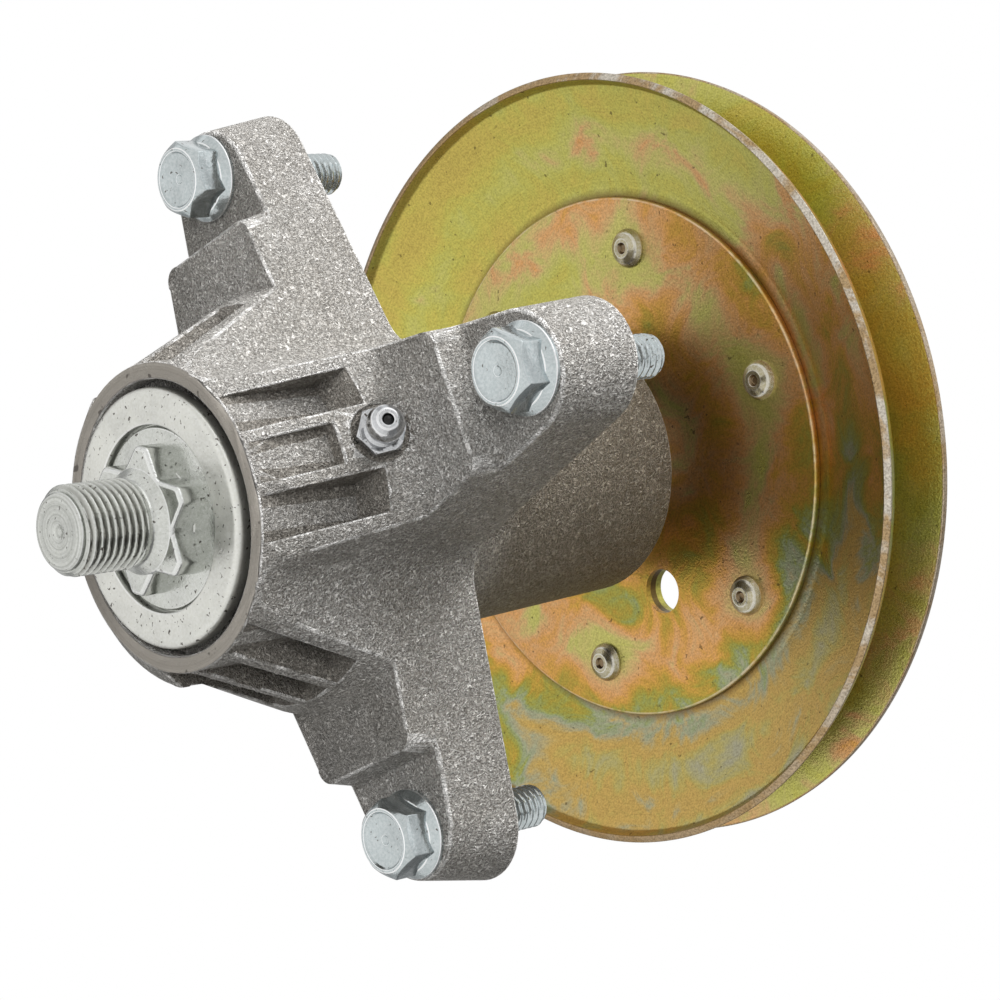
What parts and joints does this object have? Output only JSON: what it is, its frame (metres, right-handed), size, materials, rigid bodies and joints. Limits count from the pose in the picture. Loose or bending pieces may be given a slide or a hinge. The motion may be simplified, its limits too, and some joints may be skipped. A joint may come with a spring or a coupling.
{
  "type": "mower deck spindle",
  "caption": "Mower blade spindle: eared cast bearing housing bolted under a deck, star-ended threaded blade shaft, grease fitting and a riveted pressed belt pulley.",
  "frame": {"origin": "on the spindle's axis, in the plane of the ears' deck faces", "axes": "+Z along the spindle towards the pulley, +X along the ear with the grease fitting"},
  "size_m": [0.1524, 0.1524, 0.1588],
  "materials": {
    "cast_aluminium": "shot-blasted casting",
    "bearing_steel": "ground",
    "seal_rubber": "matt",
    "cage_nylon": "moulded",
    "clear_zinc": "clear zinc plated",
    "shaft_steel": "turned, clear zinc plated",
    "yellow_zinc": "yellow zinc plated",
    "rivet_steel": "yellow zinc plated, worn",
    "fitting_steel": "bright plated"
  },
  "bodies": {
    "housing": {"housing": "cast_aluminium", "lower_outer_ring": "bearing_steel", "upper_outer_ring": "bearing_steel", "lower_seals": "seal_rubber", "upper_seals": "seal_rubber", "mounting_bolts": "clear_zinc", "grease_fitting": "fitting_steel"},
    "spindle": {"shaft": "shaft_steel", "dust_ring": "clear_zinc", "lower_inner_ring": "bearing_steel", "upper_inner_ring": "bearing_steel", "bearing_spacer": "clear_zinc", "hub_sleeve": "clear_zinc", "pulley_plate": "yellow_zinc", "pulley_lower_half": "yellow_zinc", "pulley_upper_half": "yellow_zinc", "pulley_rivets": "rivet_steel", "top_washer": "clear_zinc", "top_nut": "clear_zinc"},
    "lower_ball_cage": {"lower_balls": "bearing_steel", "lower_cage": "cage_nylon"},
    "upper_ball_cage": {"upper_balls": "bearing_steel", "upper_cage": "cage_nylon"},
    "check_ball": {"grease_check_ball": "bearing_steel"}
  },
  "joints": [
    {"name": "spindle_spin", "type": "hinge", "parent": "housing", "child": "spindle", "pos_m": [0, 0, 0], "axis": [0, 0, 1], "continuous": true},
    {"name": "lower_cage_spin", "type": "hinge", "parent": "housing", "child": "lower_ball_cage", "pos_m": [0, 0, -0.036], "axis": [0, 0, 1], "continuous": true},
    {"name": "upper_cage_spin", "type": "hinge", "parent": "housing", "child": "upper_ball_cage", "pos_m": [0, 0, 0.0461], "axis": [0, 0, 1], "continuous": true},
    {"name": "check_ball_slide", "type": "slide", "parent": "housing", "child": "check_ball", "axis": [-0.8829, 0, 0.4695], "range_m": [0, 0.001]}
  ],
  "couplings": [
    {"joint": "lower_cage_spin", "follows": "spindle_spin", "ratio": 0.3816},
    {"joint": "upper_cage_spin", "follows": "spindle_spin", "ratio": 0.3816}
  ]
}
